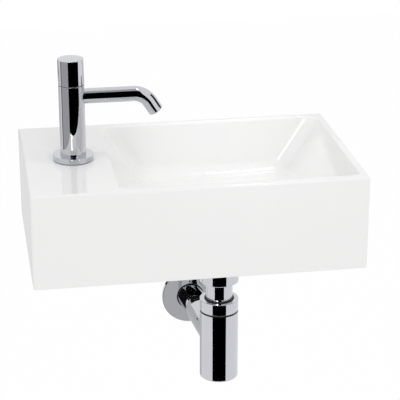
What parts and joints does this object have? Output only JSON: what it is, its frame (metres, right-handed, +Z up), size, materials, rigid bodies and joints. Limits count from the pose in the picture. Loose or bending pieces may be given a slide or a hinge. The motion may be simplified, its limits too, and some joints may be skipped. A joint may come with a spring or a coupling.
{
  "type": "wall hung hand basin",
  "caption": "Compact rectangular wall hung hand basin with an offset bowl, a deck-mounted pillar tap with a turning knob, a grid waste and a bottle trap to the wall.",
  "frame": {"origin": "On the wall plane, midway between the two wall bolts, 76 mm below the basin's rim.", "axes": "+X to the user's right as they face the wall, -Y out of the wall towards the user, +Z up."},
  "size_m": [0.37, 0.28, 0.4037],
  "materials": {
    "glazed_sanitary_ceramic": "smooth white glaze",
    "chrome_plate": "polished chrome plate on brass",
    "black_rubber": "moulded black rubber",
    "brass": "turned brass",
    "stainless_steel": "plain stainless steel",
    "white_plastic": "moulded white plastic",
    "technical_ceramic": "lapped ceramic"
  },
  "bodies": {
    "basin": {"basin": "glazed_sanitary_ceramic", "wall_bolts": "stainless_steel", "wall_bolt_bushes": "white_plastic", "wall_bolt_washers": "stainless_steel", "wall_bolt_nuts": "stainless_steel", "tap_base_ring": "chrome_plate", "tap_base_seal": "black_rubber", "tap_body": "chrome_plate", "tap_tail": "brass", "tap_rubber_washer": "black_rubber", "tap_steel_washer": "stainless_steel", "tap_backnut": "brass", "spout": "chrome_plate", "aerator_housing": "white_plastic", "aerator_screen": "stainless_steel", "headwork_body": "brass", "headwork_seat": "black_rubber", "headwork_fixed_disc": "technical_ceramic", "headwork_spindle_seal": "black_rubber", "waste_body": "chrome_plate", "waste_grid": "chrome_plate", "waste_screw": "chrome_plate", "waste_upper_seal": "black_rubber", "waste_lower_seal": "black_rubber", "waste_backnut": "brass", "trap_union_nut": "chrome_plate", "trap_union_seal": "black_rubber", "trap_inlet_pipe": "chrome_plate", "trap_cap": "chrome_plate", "trap_cap_seal": "black_rubber", "trap_neck_ring": "black_rubber", "trap_bottle": "chrome_plate", "trap_outlet_seal": "black_rubber", "wall_pipe": "chrome_plate", "wall_rosette": "chrome_plate", "rosette_grip_ring": "black_rubber"},
    "handle": {"handle": "chrome_plate", "handle_set_screw": "stainless_steel", "headwork_spindle": "brass", "headwork_moving_disc": "technical_ceramic"}
  },
  "joints": [
    {"name": "handle_turn", "type": "hinge", "parent": "basin", "child": "handle", "pos_m": [-0.129, -0.118, 0.1631], "axis": [0, 0, 1], "range_deg": [0, 90]}
  ]
}
